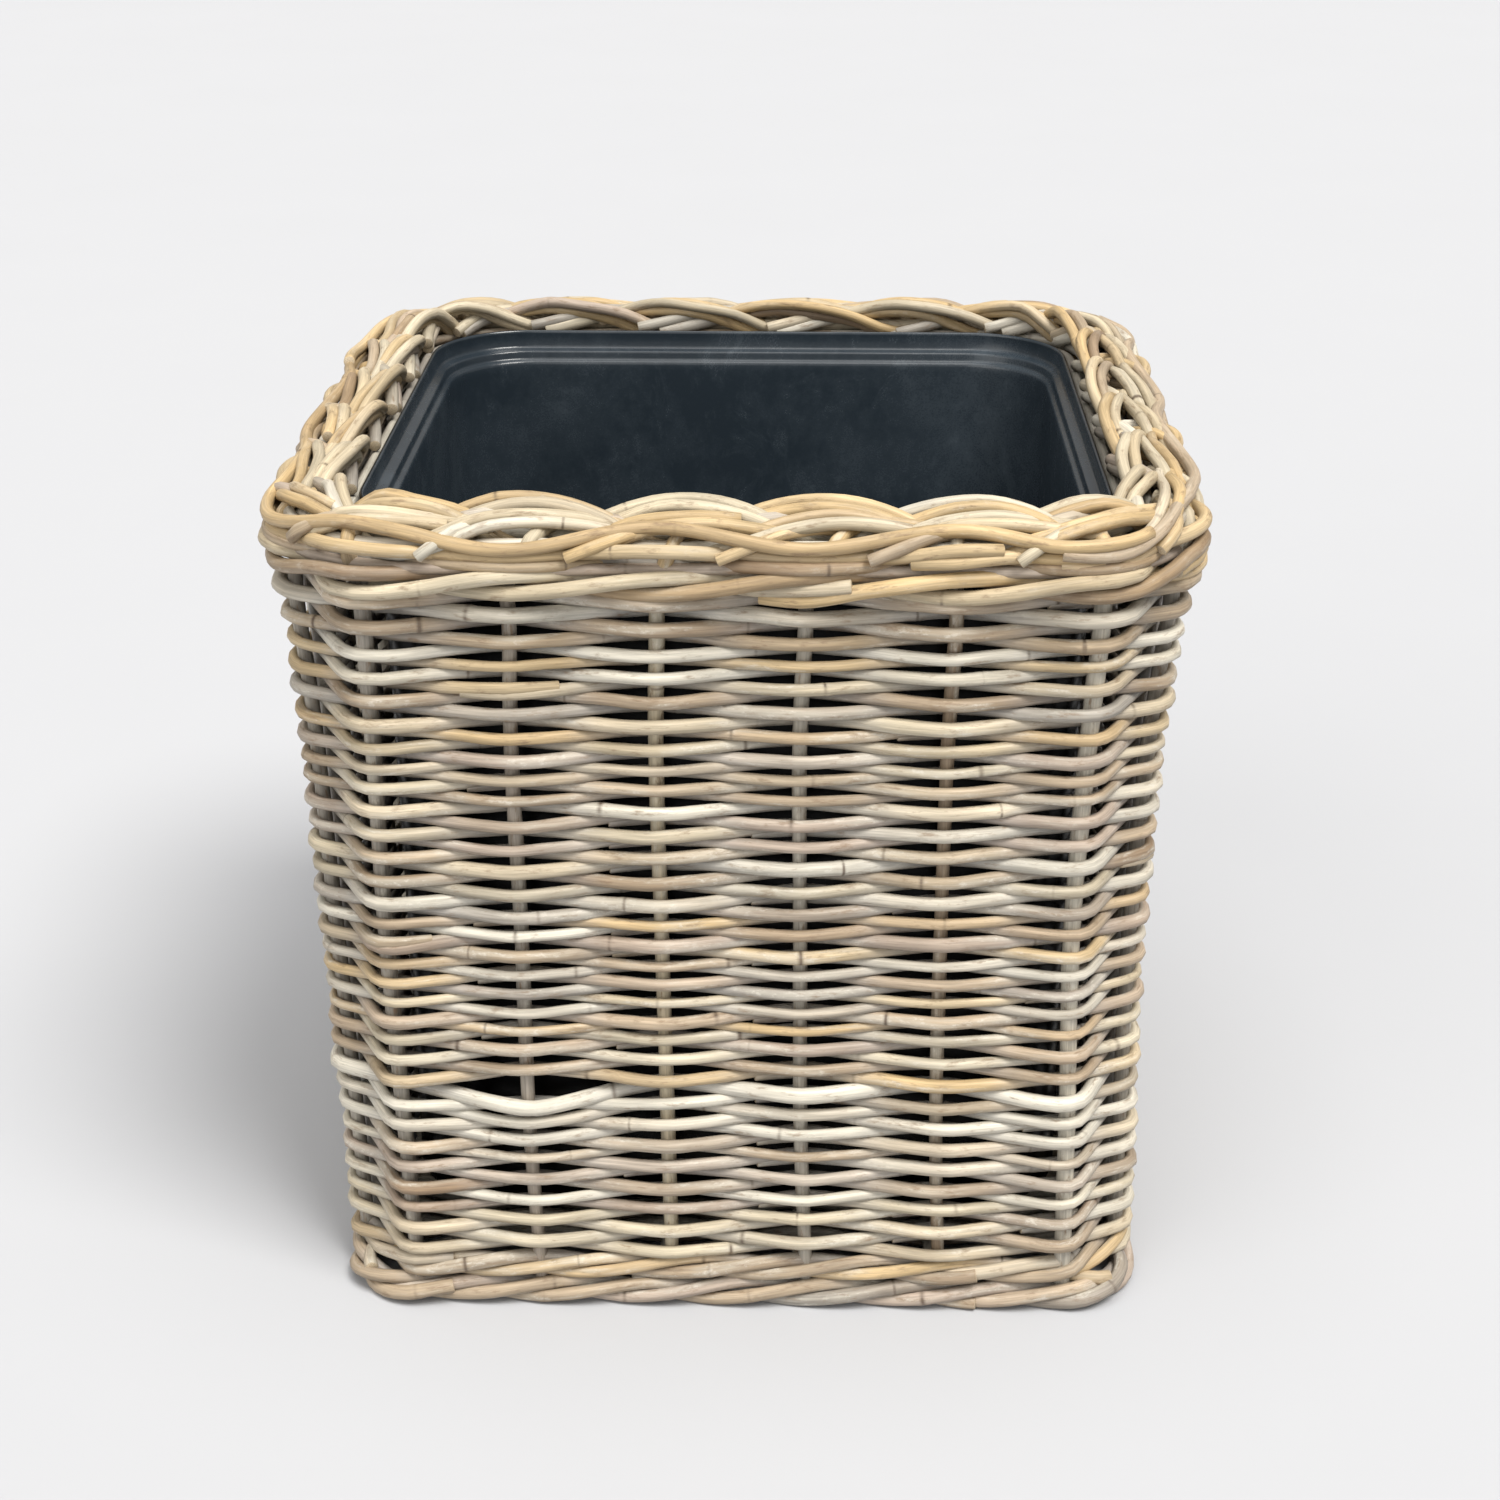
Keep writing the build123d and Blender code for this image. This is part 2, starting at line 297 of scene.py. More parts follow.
class Bundle:
    """Rods gathered into one mesh, with the values that their material reads."""

    def __init__(self):
        self.points = []
        self.quads = []
        self.fans = []
        self.tone_and_painted_light = []
        self.grain = []
        self.marks = []
        self.size = 0

    def rod(self, rng, line, radius, mix, side_hint=UP, knots=(130, 340), taper=(1, 1),
            deep=0.0, tip_mix=None):
        """One rod along a line of points, closed at both ends by a cut face.

        knots is the least and greatest spacing of its joints, deep says how far into the weave
        each point of the line lies, from 0 to 1, where it is greyed with painted shade, and
        tip_mix gives the last stretch of the rod a shade of its own.
        """
        line = np.asarray(line, float)
        whole = measured(line)
        length = whole[-1]
        joints = joint_places(rng, length, knots)
        rings = ring_places(length, joints)
        centre = np.stack([np.interp(rings, whole, line[:, i]) for i in range(3)], 1)
        knot, thick = girth(rng, rings, joints, radius, taper)

        tangent = np.gradient(centre, axis=0)
        tangent /= np.linalg.norm(tangent, axis=1)[:, None]
        across = np.cross(tangent, side_hint)
        across /= np.linalg.norm(across, axis=1)[:, None]
        above = np.cross(across, tangent)

        # rings at the two cut ends: a small bevel, then a point in the middle of the face
        centre = np.concatenate((centre[:1] - BEVEL * tangent[:1], centre,
                                 centre[-1:] + BEVEL * tangent[-1:]))
        across = np.concatenate((across[:1], across, across[-1:]))
        above = np.concatenate((above[:1], above, above[-1:]))
        thick = np.concatenate((BEVEL_SHARE * thick[:1], thick, BEVEL_SHARE * thick[-1:]))
        knot = np.concatenate(((0,), knot, (0,)))
        rings = np.concatenate((rings[:1] - BEVEL, rings, rings[-1:] + BEVEL))
        pith = np.zeros_like(rings)
        pith[0] = pith[-1] = 1

        angle = np.linspace(0, 2 * pi, SECTION, endpoint=False)
        oval = 1 + rng.uniform(0, 0.05) * np.cos(2 * angle + rng.uniform(0, pi))
        oval += rng.uniform(0, 0.025) * np.cos(3 * angle + rng.uniform(0, pi))
        reach = thick[:, None] * oval[None, :]
        turn_x = (reach * np.cos(angle))[..., None]
        turn_y = (reach * np.sin(angle))[..., None]
        skin = centre[:, None] + turn_x * across[:, None] + turn_y * above[:, None]
        count = len(rings)

        deep = np.interp(rings, whole, np.broadcast_to(deep, whole.shape))
        shade = shades(rng, rings, length, mix, deep, tip_mix)

        place = rng.uniform(0, 40)
        grain = np.empty((count, SECTION, 3))
        grain[..., 0] = (rings * MM)[:, None] + place
        grain[..., 1] = turn_x[..., 0] * MM
        grain[..., 2] = turn_y[..., 0] * MM

        # painted light and shade: the upper and outer faces are made lighter and the under and inner
        # ones darker
        facing = (skin - centre[:, None]) / reach[..., None]
        outward = centre[:, :2] / np.linalg.norm(centre[:, :2], axis=1)[:, None]
        outer = (facing[..., :2] * outward[:, None]).sum(-1)
        painted_light = 0.89 + 0.19 * facing[..., 2] + 0.06 * outer
        skin_tone = np.clip(shade[:, None] * painted_light[..., None], 0, 1)

        tips = np.stack((centre[0], centre[-1]))
        tip_grain = np.array([[rings[0] * MM + place, 0, 0], [rings[-1] * MM + place, 0, 0]])
        quads, fans = rod_faces(count)
        self.quads.append(quads + self.size)
        self.fans.append(fans + self.size)
        self.points.append(np.concatenate((skin.reshape(-1, 3), tips)))
        self.tone_and_painted_light.append(np.concatenate((skin_tone.reshape(-1, 3), shade[:1], shade[-1:])))
        self.grain.append(np.concatenate((grain.reshape(-1, 3), tip_grain)))
        marks = np.stack((knot, pith, np.zeros_like(knot)), -1)
        self.marks.append(np.concatenate((np.repeat(marks, SECTION, 0), marks[:1], marks[-1:])))
        self.size += count * SECTION + 2

    def piece(self, name, material, slot, nodes):
        """The finished Blender piece, which stands for the CAD nodes named."""
        points = np.concatenate(self.points) * MM
        quads = np.concatenate(self.quads)
        fans = np.concatenate(self.fans)
        mesh = bpy.data.meshes.new(name)
        mesh.vertices.add(len(points))
        mesh.vertices.foreach_set("co", points.astype(np.float32).ravel())
        loops = np.concatenate((quads.ravel(), fans.ravel())).astype(np.int32)
        mesh.loops.add(len(loops))
        mesh.loops.foreach_set("vertex_index", loops)
        sizes = np.concatenate((np.full(len(quads), 4), np.full(len(fans), 3))).astype(np.int32)
        starts = np.concatenate(((0,), np.cumsum(sizes)[:-1])).astype(np.int32)
        mesh.polygons.add(len(sizes))
        mesh.polygons.foreach_set("loop_start", starts)
        mesh.polygons.foreach_set("loop_total", sizes)
        mesh.polygons.foreach_set("use_smooth", np.ones(len(sizes), bool))
        mesh.update(calc_edges=True)
        mesh.validate()
        self.attribute(mesh, "tone_and_painted_light", "FLOAT_COLOR", self.tone_and_painted_light, pad=True)
        self.attribute(mesh, "grain", "FLOAT_VECTOR", self.grain)
        self.attribute(mesh, "marks", "FLOAT_VECTOR", self.marks)
        mesh.materials.append(material)
        settle(mesh, name, nodes, "basket")

    @staticmethod
    def attribute(mesh, name, kind, parts, pad=False):
        """Stores a value for each point of the mesh, with an alpha of one if pad is set."""
        values = np.concatenate(parts)
        if pad:
            values = np.concatenate((values, np.ones((len(values), 1))), 1)
        data = mesh.attributes.new(name, kind, "POINT").data
        data.foreach_set("color" if kind == "FLOAT_COLOR" else "vector",
                         values.astype(np.float32).ravel())


def settle(mesh, name, nodes, body):
    """An object for the mesh, riding on its body in place of the CAD nodes."""
    piece = bpy.data.objects.new(name, mesh)
    bpy.context.scene.collection.objects.link(piece)
    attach(piece, body)
    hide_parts(*nodes)


# ---------------------------------------------------------------- materials

# Linear colours: marks on the cane, and the pith that shows at a cut end
BLEACHED = (0.57, 0.54, 0.46)
FLAKED = (0.66, 0.63, 0.56)
STAINED = (0.20, 0.13, 0.075)
JOINT_RING = (0.085, 0.055, 0.035)
PITH_DARK, PITH_PALE = (0.32, 0.24, 0.15), (0.62, 0.54, 0.40)
# The liner's plain outside, near-black with painted shade, its blue-black inside and the film of
# dust there
PLASTIC_OUTSIDE = (0.004, 0.004, 0.004)
PLASTIC_INSIDE = (0.0175, 0.0255, 0.034)
DUST = (0.19, 0.235, 0.275)
FLOOR_COLOUR = (0.479, 0.491, 0.517)


class Shader:
    """Small helper that adds and links the nodes of one material."""

    def __init__(self, name):
        self.material = bpy.data.materials.new(name)
        self.material.use_nodes = True
        self.tree = self.material.node_tree
        self.surface = self.tree.nodes["Principled BSDF"]

    def add(self, kind, inputs=None, **settings):
        node = self.tree.nodes.new(kind)
        for key, value in settings.items():
            setattr(node, key, value)
        for key, value in (inputs or {}).items():
            if isinstance(value, bpy.types.NodeSocket):
                self.tree.links.new(value, node.inputs[key])
            else:
                node.inputs[key].default_value = value
        return node

    def stretch(self, vector, scale):
        """The vector multiplied by a scale for each axis."""
        node = self.add("ShaderNodeVectorMath", {0: vector, 1: scale}, operation="MULTIPLY")
        return node.outputs[0]

    def noise(self, vector, scale=1.0, detail=3.0, roughness=0.55):
        node = self.add("ShaderNodeTexNoise", {"Vector": vector, "Scale": scale,
                                               "Detail": detail, "Roughness": roughness})
        return node.outputs["Fac"]

    def remap(self, value, low, high, to_low=0.0, to_high=1.0):
        node = self.add("ShaderNodeMapRange", {"Value": value, "From Min": low, "From Max": high,
                                               "To Min": to_low, "To Max": to_high})
        return node.outputs["Result"]

    def math(self, operation, a, b=0.0):
        return self.add("ShaderNodeMath", {0: a, 1: b}, operation=operation).outputs[0]

    def mix(self, factor, a, b, mode="MIX"):
        node = self.add("ShaderNodeMix", data_type="RGBA", blend_type=mode)
        for socket, value in ((node.inputs[0], factor), (node.inputs[6], a), (node.inputs[7], b)):
            if isinstance(value, bpy.types.NodeSocket):
                self.tree.links.new(value, socket)
            else:
                socket.default_value = value if isinstance(value, float) else (*value[:3], 1.0)
        return node.outputs[2]

    def link(self, output, key):
        self.tree.links.new(output, self.surface.inputs[key])

    def bump(self, height, strength, distance):
        node = self.add("ShaderNodeBump", {"Height": height, "Strength": strength,
                                           "Distance": distance})
        self.link(node.outputs["Normal"], "Normal")


def cane_material(name, gloss=0.5, stain=1.0, bleach=1.0):
    """Natural rattan: long grain, stains, dark rings at the joints and pale cut ends.

    gloss is a middle roughness; stain and bleach are how strong those marks are.
    """
    sh = Shader(name)
    # the rods' colour attribute, with painted light and shade already in it
    tone_and_painted_light = sh.add("ShaderNodeAttribute", attribute_name="tone_and_painted_light").outputs["Color"]
    grain = sh.add("ShaderNodeAttribute", attribute_name="grain").outputs["Vector"]
    marks = sh.add("ShaderNodeAttribute", attribute_name="marks").outputs["Vector"]
    parts = sh.add("ShaderNodeSeparateXYZ", {"Vector": marks})
    knot, pith = parts.outputs["X"], parts.outputs["Y"]

    streak = sh.noise(sh.stretch(grain, (26.0, 620.0, 620.0)), detail=4.0)
    thread = sh.noise(sh.stretch(grain, (60.0, 2600.0, 2600.0)), detail=2.0)
    cloud = sh.noise(sh.stretch(grain, (16.0, 150.0, 150.0)), detail=3.0)
    scar = sh.noise(sh.stretch(grain, (70.0, 260.0, 260.0)), detail=5.0, roughness=0.7)

    light = sh.remap(streak, 0.28, 0.72, 0.72, 1.20)
    fine = sh.remap(thread, 0.3, 0.7, 0.86, 1.11)
    light = sh.math("MULTIPLY", light, fine)
    grey = sh.add("ShaderNodeCombineColor", {0: light, 1: light, 2: light}).outputs[0]
    colour = sh.mix(1.0, tone_and_painted_light, grey, "MULTIPLY")
    bleached = sh.remap(cloud, 0.52, 0.66, 0.0, 0.42 * bleach)
    colour = sh.mix(bleached, colour, BLEACHED)
    stained = sh.remap(scar, 0.56, 0.69, 0.0, 0.66 * stain)
    colour = sh.mix(stained, colour, STAINED)
    flake = sh.noise(sh.stretch(grain, (150.0, 330.0, 330.0)), detail=5.0, roughness=0.75)
    flaked = sh.math("MULTIPLY", sh.remap(flake, 0.53, 0.63, 0.0, 0.5 * bleach),
                     sh.remap(cloud, 0.50, 0.62))
    colour = sh.mix(flaked, colour, FLAKED)
    ring = sh.remap(knot, 0.12, 0.8, 0.0, 0.86)
    ring = sh.math("MULTIPLY", ring, sh.remap(cloud, 0.38, 0.56, 0.25, 1.0))
    colour = sh.mix(ring, colour, JOINT_RING)
    pores = sh.noise(sh.stretch(grain, (0.0, 2600.0, 2600.0)), detail=2.0)
    inside = sh.mix(sh.remap(pores, 0.35, 0.65), PITH_DARK, PITH_PALE)
    colour = sh.mix(sh.remap(pith, 0.3, 0.9), colour, inside)
    sh.link(colour, "Base Color")
    sh.link(sh.remap(streak, 0.3, 0.7, gloss + 0.12, gloss - 0.08), "Roughness")
    sh.surface.inputs["Specular IOR Level"].default_value = 0.42
    height = sh.math("ADD", sh.math("MULTIPLY", streak, 0.6), sh.math("MULTIPLY", thread, 0.25))
    height = sh.math("SUBTRACT", height, sh.math("MULTIPLY", stained, 0.5))
    sh.bump(height, 0.55, 0.0005)
    return sh.material


def liner_material():
    """Moulded plastic: plain outside, near-black with painted shade; inside glossy, dusty in
    patches, with scuffs and specks.
    """
    sh = Shader("liner_plastic")
    place = sh.add("ShaderNodeTexCoord").outputs["Object"]
    within = sh.add("ShaderNodeAttribute", attribute_name="within").outputs["Fac"]
    dust = sh.noise(sh.stretch(place, (13.0, 13.0, 11.0)), detail=9.0, roughness=0.72)
    wipe = sh.add("ShaderNodeTexNoise", {"Vector": sh.stretch(place, (24.0, 24.0, 17.0)),
                                         "Scale": 1.0, "Detail": 8.0, "Roughness": 0.7,
                                         "Distortion": 0.8}).outputs["Fac"]
    grit = sh.noise(place, scale=900.0, detail=2.0)
    speck = sh.add("ShaderNodeTexVoronoi", {"Vector": place, "Scale": 160.0}).outputs["Distance"]
    dusty = sh.remap(dust, 0.40, 0.72, 0.0, 0.13)
    rubbed = sh.remap(wipe, 0.54, 0.78, 0.0, 0.12)
    specks = sh.remap(speck, 0.05, 0.0, 0.0, 0.5)
    specks = sh.math("MULTIPLY", specks, sh.remap(dust, 0.53, 0.62))
    film = sh.math("ADD", sh.math("ADD", dusty, rubbed), specks)
    film = sh.math("MULTIPLY", film, sh.remap(grit, 0.3, 0.7, 0.55, 1.45))
    film = sh.math("MULTIPLY", film, within)
    # the near-black of the outside is painted shade
    clean = sh.mix(within, PLASTIC_OUTSIDE, PLASTIC_INSIDE)
    colour = sh.mix(film, clean, DUST)
    sh.link(colour, "Base Color")
    sh.link(sh.remap(film, 0.0, 0.25, 0.22, 0.46), "Roughness")
    sh.link(sh.remap(within, 0.0, 1.0, 0.12, 0.5), "Specular IOR Level")
    peel = sh.noise(place, scale=420.0, detail=2.0)
    sh.bump(peel, 0.12, 0.0004)
    return sh.material


def floor_material():
    """Studio floor: an even surface with the faintest mottle."""
    sh = Shader("studio_floor")
    place = sh.add("ShaderNodeTexCoord").outputs["Object"]
    mottle = sh.remap(sh.noise(place, scale=3.0), 0.3, 0.7, 0.995, 1.005)
    grey = sh.add("ShaderNodeCombineColor", {0: mottle, 1: mottle, 2: mottle}).outputs[0]
    sh.link(sh.mix(1.0, FLOOR_COLOUR, grey, "MULTIPLY"), "Base Color")
    sh.surface.inputs["Roughness"].default_value = 0.9
    return sh.material


WALL_CANE = cane_material("cane_wall", gloss=0.52)
STAKE_CANE = cane_material("cane_stake", gloss=0.6, stain=1.2)
RIM_CANE = cane_material("cane_rim", gloss=0.52, bleach=0.35)
FOOT_CANE = cane_material("cane_foot", gloss=0.5)
BASE_CANE = cane_material("cane_base", gloss=0.6, stain=1.2)
LINER_PLASTIC = liner_material()


# ---------------------------------------------------------------- woven wall

ROWS = 61
ROWS_PER_PIECE = 8
CANE_STAKE = 4.1             # radius of a stake
PRESS = 0.2                  # how far a rod presses into the stake that it passes
SPAN_STEPS = 12              # points along a rod from one stake to the next
SPLICE_REACH = 0.34          # how far a rod runs past its last stake, in spans
SHARPNESS = 0.96             # how straight a rod runs from stake to stake, under 1
# How far the wall stands outside the line of the CAD stakes, against height: it draws in
# above the foot and flares under the rim
FLARE = ((0.0, -1.0), (33.0, -1.6), (110.0, -1.2), (200.0, -0.2), (290.0, 1.6), (350.0, 4.4),
         (412.0, 8.0), (440.0, 12.8), (466.0, 17.5))
PALE_ROWS = (*range(6, 16), *range(36, 42))
WEAVER, WEAVER_SPREAD, WEAVER_LIMITS = 3.4, 0.36, (2.7, 4.2)    # radii of the rods in a row
TOP_WEAVERS = (3.9, 4.1, 4.2)                   # radii of the rods in the last rows
SAG_ROW = 15                 # a thick rod that dips at one stake and leaves a gap over it
SAG_STAKE = 1
SAG_WEAVER = 4.6
SAG_DROPS = (8.0, 6.0, 4.5, 3.0, 2.0, 1.0)      # of the dipping rod and of the rows below it
SAG_BESIDE = 1.6             # how far that rod drops at the stakes on either side
SAG_LIFT = 1.0               # how far the row over the gap bends up


def round_the_ring(values, index):
    """Smooth closed curve through one value for each stake, read at stake numbers."""
    index = np.mod(np.asarray(index, float), STAKES)
    cell = np.floor(index).astype(int)
    return spline(*(values[(cell + k) % STAKES] for k in (-1, 0, 1, 2)), index - cell)


def row_radii(rng):
    """Mean radius of each row: uneven in the wall, thicker in the last rows under the rim."""
    radii = np.clip(rng.normal(WEAVER, WEAVER_SPREAD, ROWS), *WEAVER_LIMITS)
    radii[-len(TOP_WEAVERS):] = TOP_WEAVERS
    radii[SAG_ROW] = SAG_WEAVER
    return radii


def row_heights(rng, radii):
    """Height of every row at every stake, packed as thick and thin rods pack."""
    thickness = 2 * radii[:, None] * (1 + 0.13 * rng.standard_normal((ROWS, STAKES)))
    thickness = (thickness + np.roll(thickness, 1, 1) + np.roll(thickness, -1, 1)) / 3
    top = np.cumsum(thickness, 0)
    share = (top - thickness / 2) / top[-1]
    heights = WALL_BOTTOM + (WALL_TOP - WALL_BOTTOM) * share
    for below, drop in enumerate(SAG_DROPS):
        heights[SAG_ROW - below, SAG_STAKE] -= drop
    heights[SAG_ROW, [SAG_STAKE - 1, SAG_STAKE + 1]] -= SAG_BESIDE
    heights[SAG_ROW + 1, SAG_STAKE] += SAG_LIFT
    return heights


def lean(z):
    """How far the wall stands outside the line of the CAD stakes at a height."""
    return np.interp(z, *zip(*FLARE))


def zigzag(index):
    """Wave of unit size with a crest at every even stake number and nearly straight slopes."""
    return np.arcsin(SHARPNESS * np.cos(pi * index)) / asin(SHARPNESS)


def splices(rng, row):
    """Stake numbers where the row changes from one rod to the next."""
    marks = []
    place = int(rng.integers(0, 12))
    while place < STAKES - 3:
        hidden = (place + row) % 2 == 1
        if not hidden and rng.random() < 0.72:
            place += 1
        marks.append(place)
        place += int(rng.integers(9, 22))
    return marks


def weave_row(rng, bundle, row, radius, heights):
    """One row of plain randing: in front of a stake and behind the next, all the way round."""
    marks = splices(rng, row)
    ends = marks[1:] + [marks[0] + STAKES]
    depth = rng.uniform(-0.35, 0.35, STAKES)
    mix = PALE_MIX if row in PALE_ROWS else WALL_MIX
    if row == SAG_ROW:
        mix = SAG_MIX
    for start, end in zip(marks, ends):
        low, high = start - SPLICE_REACH, end + SPLICE_REACH
        index = np.linspace(low, high, int((high - low) * SPAN_STEPS) + 1)
        wave = zigzag(index) * (-1) ** row
        reach = CANE_STAKE + radius - PRESS + round_the_ring(depth, index)
        z = round_the_ring(heights, index)
        slip = 0.45 * radius         # where two rods meet, one rises and the other drops
        z = z + slip * np.clip((index - (end - 0.5)) / 0.4, 0, 1)
        z = z - slip * np.clip(((start + 0.5) - index) / 0.4, 0, 1)
        line = WALL.space(index, wave * reach + lean(z), z)
        along = measured(line)
        line[:, 2] += 0.4 * wander(rng, along, 150.0) + 0.15 * wander(rng, along, 48.0)
        # the stretches that pass behind a stake are greyed with painted shade
        bundle.rod(rng, line, radius * rng.uniform(0.93, 1.07), mix, taper=(0.9, 0.8),
                   deep=np.clip(0.35 - wave, 0, 1))


def make_wall():
    """Rows of weave all the way round, grouped into pieces from the bottom up."""
    rng = np.random.default_rng(SEEDS["wall"])
    radii = row_radii(rng)
    heights = row_heights(rng, radii)
    nodes = [f"side_weave_{side}" for side in SIDES] + [f"corner_weave_{c}" for c in CORNERS]
    for first in range(0, ROWS, ROWS_PER_PIECE):
        bundle = Bundle()
        last = min(first + ROWS_PER_PIECE, ROWS)
        for row in range(first, last):
            weave_row(rng, bundle, row, radii[row], heights[row])
        bundle.piece(f"weave_rows_{first + 1:02d}_{last:02d}", WALL_CANE, "rattan_weave", nodes)


# ---------------------------------------------------------------- stakes and rim

STAKE_FOOT = 12.0            # height of a stake's lower end over the bottom of the foot
STAKE_LEVELS = (120.0, 240.0, 350.0, 425.0)
CORNER_EXTRA = 0.35          # the stakes at the corners are thicker by this
# A stake above the wall: offset from the rim's middle line, height. It turns inward over
# the rails and lies across the rim, under the crests of the plait.
ELBOW = ((6.5, 446.0), (10.8, 456.0), (12.0, 465.0), (8.5, 472.0), (1.0, 475.0), (-7.0, 475.4),
         (-15.5, 473.5))


def make_stakes():
    """Each stake rises inside the weave, turns in at the rim and ends under the plait."""
    rng = np.random.default_rng(SEEDS["stakes"])
    levels = (FOOT_LOW[2] + STAKE_FOOT, *STAKE_LEVELS)
    for index in range(STAKES):
        side, number = SIDES[index // PER_SIDE], index % PER_SIDE + 1
        corner = number in (1, PER_SIDE)
        radius = CANE_STAKE * rng.uniform(0.93, 1.05) + (CORNER_EXTRA if corner else 0.0)
        shift = rng.uniform(-0.02, 0.02, 6)
        upright = [WALL.space(index + shift[k], lean(z), z) for k, z in enumerate(levels)]
        skew = rng.uniform(-0.05, 0.09)
        keep = len(ELBOW) - int(rng.random() < 0.3)
        tip = [RIM.space(index + skew * k, offset, z) for k, (offset, z) in enumerate(ELBOW[:keep])]
        line = through(np.array(upright + tip), 12)
        outward = WALL.at(WALL.distance(index))[1]
        beside = np.array((-outward[1], outward[0], 0.0))
        bundle = Bundle()
        bundle.rod(rng, line, radius, STAKE_MIX, side_hint=beside, knots=(170, 380), taper=(1, 0.9),
                   tip_mix=RIM_MIX)
        bundle.piece(f"cane_stake_{side}_{number}", STAKE_CANE, "rattan_stake",
                     [f"stake_{side}_{number}"])


RIM_NODES = [f"rim_{side}" for side in SIDES] + [f"rim_corner_{c}" for c in CORNERS]

# A border rod: stake numbers past its crest at the opening, offset from the rim's middle
# line, height. It dives under the next stake's end, comes up outside and crests once more.
STRAND = ((-0.85, -4.0, 464.5), (-0.55, -11.0, 469.0), (-0.25, -16.3, 478.5), (0.06, -17.4, 485.0),
          (0.4, -13.5, 485.6), (0.72, -7.5, 479.5), (1.02, -1.0, 467.0), (1.33, 6.5, 466.0),
          (1.6, 9.0, 472.0), (1.92, 5.0, 480.5), (2.28, 0.5, 482.0), (2.6, -1.0, 479.8),
          (2.82, 0.5, 477.5), (3.0, 3.0, 476.0))
FIRST_CREST = 8              # guide points that a rod needs for its first crest alone
# The rods that start at a stake: which side of the middle one, drop, whether it crests twice
PLAIT_RODS = ((-1, 0.0, True), (1, 1.3, True), (0, 5.6, False))


def make_plait():
    """Three rods from each stake: two crest twice on their way across the rim, one once."""
    rng = np.random.default_rng(SEEDS["plait"])
    for turn, side in enumerate(SIDES):
        bundle = Bundle()
        for index in range(turn * PER_SIDE, (turn + 1) * PER_SIDE):
            sway = rng.normal(0, 0.7, 3)
            for beside_middle, drop, twice in PLAIT_RODS:
                radius = rng.uniform(3.15, 3.75)
                slide = rng.normal(-0.08, 0.05)
                keep = len(STRAND) - int(rng.integers(0, 3)) if twice else FIRST_CREST
                guide = np.array([(index + q + slide, u + sway[0], z) for q, u, z in STRAND[:keep]])
                guide[:, 2] += rng.normal(0, 0.6, keep)
                guide = through(guide, 8)
                centre = RIM.space(guide[:, 0], guide[:, 1], guide[:, 2])
                run = np.gradient(centre, axis=0)
                beside = np.cross(run, UP)
                beside /= np.linalg.norm(beside, axis=1)[:, None]
                line = centre + beside_middle * (radius + 0.1) * beside
                line[:, 2] -= drop
                line += 0.5 * wander(rng, measured(line), 120.0)[:, None] * beside
                bundle.rod(rng, line, radius, RIM_MIX, knots=(90, 260), taper=(0.9, 0.96))
        bundle.piece(f"rim_plait_{side}", RIM_CANE, "rattan_rim", RIM_NODES)


LAP = 0.35                   # stretch before a seam in which a rod steps aside, in spans
# Rails: offset from the rim's middle line and height at even stakes, then at odd stakes
RAILS = (((20.8, 470.0), (3.5, 462.5)), ((3.0, 460.5), (19.0, 461.8)),
         ((9.5, 479.4), (20.2, 471.6)), ((4.5, 467.5), (18.6, 466.2)))
# Rods inside the rim that back the plait: offset, height
BACKING = ((-20.9, 460.2), (-13.5, 464.5), (-9.0, 470.0), (-5.0, 460.5), (1.5, 467.0), (7.0, 461.0),
           (8.5, 469.5), (12.5, 458.5), (-19.5, 453.8), (-12.5, 448.0))


def lap(index, start, end, radius):
    """Step aside of a rod in a long course, so that at a seam its tail lies past the next's head."""
    tail = np.clip((index - end + LAP) / LAP, 0, 1)
    head = np.clip((start + LAP - index) / LAP, 0, 1)
    return 0.9 * radius * (tail - head)


def make_rails(rng):
    """Long rods round the rim, over one stake's elbow and inside the next."""
    bundle = Bundle()
    for even, odd in RAILS:
        place = np.array([even, odd] * (STAKES // 2), float) + rng.normal(0, 0.6, (STAKES, 2))
        first = rng.integers(STAKES)
        seams = first + np.array((0, rng.integers(7, 11), rng.integers(15, 19), STAKES))
        for start, end in zip(seams[:-1], seams[1:]):
            index = np.linspace(start - 0.3, end + 0.3, int((end - start + 0.6) * SPAN_STEPS))
            radius = rng.uniform(3.3, 3.8)
            line = RIM.space(index, round_the_ring(place[:, 0], index),
                             round_the_ring(place[:, 1], index) + lap(index, start, end, radius))
            bundle.rod(rng, line, radius, RAIL_MIX)
    bundle.piece("rim_rails", RIM_CANE, "rattan_rim", RIM_NODES)


def make_backing(rng):
    """Level rods inside the rim, which close it behind the plait."""
    bundle = Bundle()
    for offset, z in BACKING:
        first = int(rng.integers(STAKES))
        seam = first + int(rng.integers(8, 14))
        for start, end in ((first, seam), (seam, first + STAKES)):
            index = np.linspace(start - 0.2, end + 0.2, (end - start) * SPAN_STEPS)
            line = RIM.space(index, offset, z)
            line[:, 2] += 0.5 * wander(rng, measured(line), 170.0)
            bundle.rod(rng, line, rng.uniform(3.1, 3.4), STAKE_MIX)
    bundle.piece("rim_backing_rods", RIM_CANE, "rattan_rim", RIM_NODES)


def make_rim_courses():
    """The rods that run right round the rim."""
    rng = np.random.default_rng(SEEDS["rails"])
    make_rails(rng)
    make_backing(rng)


# A short rod that lies across the rim between two stakes: offset, height
RUNG = ((18.5, 466.0), (17.0, 472.6), (10.5, 477.0), (3.0, 477.8), (-4.5, 475.0))
RUNG_PLACE = 0.42            # where it starts, in spans past a stake
END_HEIGHT = 467.0           # of a finished rod's cut end at the opening
TWIN_CHANCE = 0.45           # how often a stake has two of them


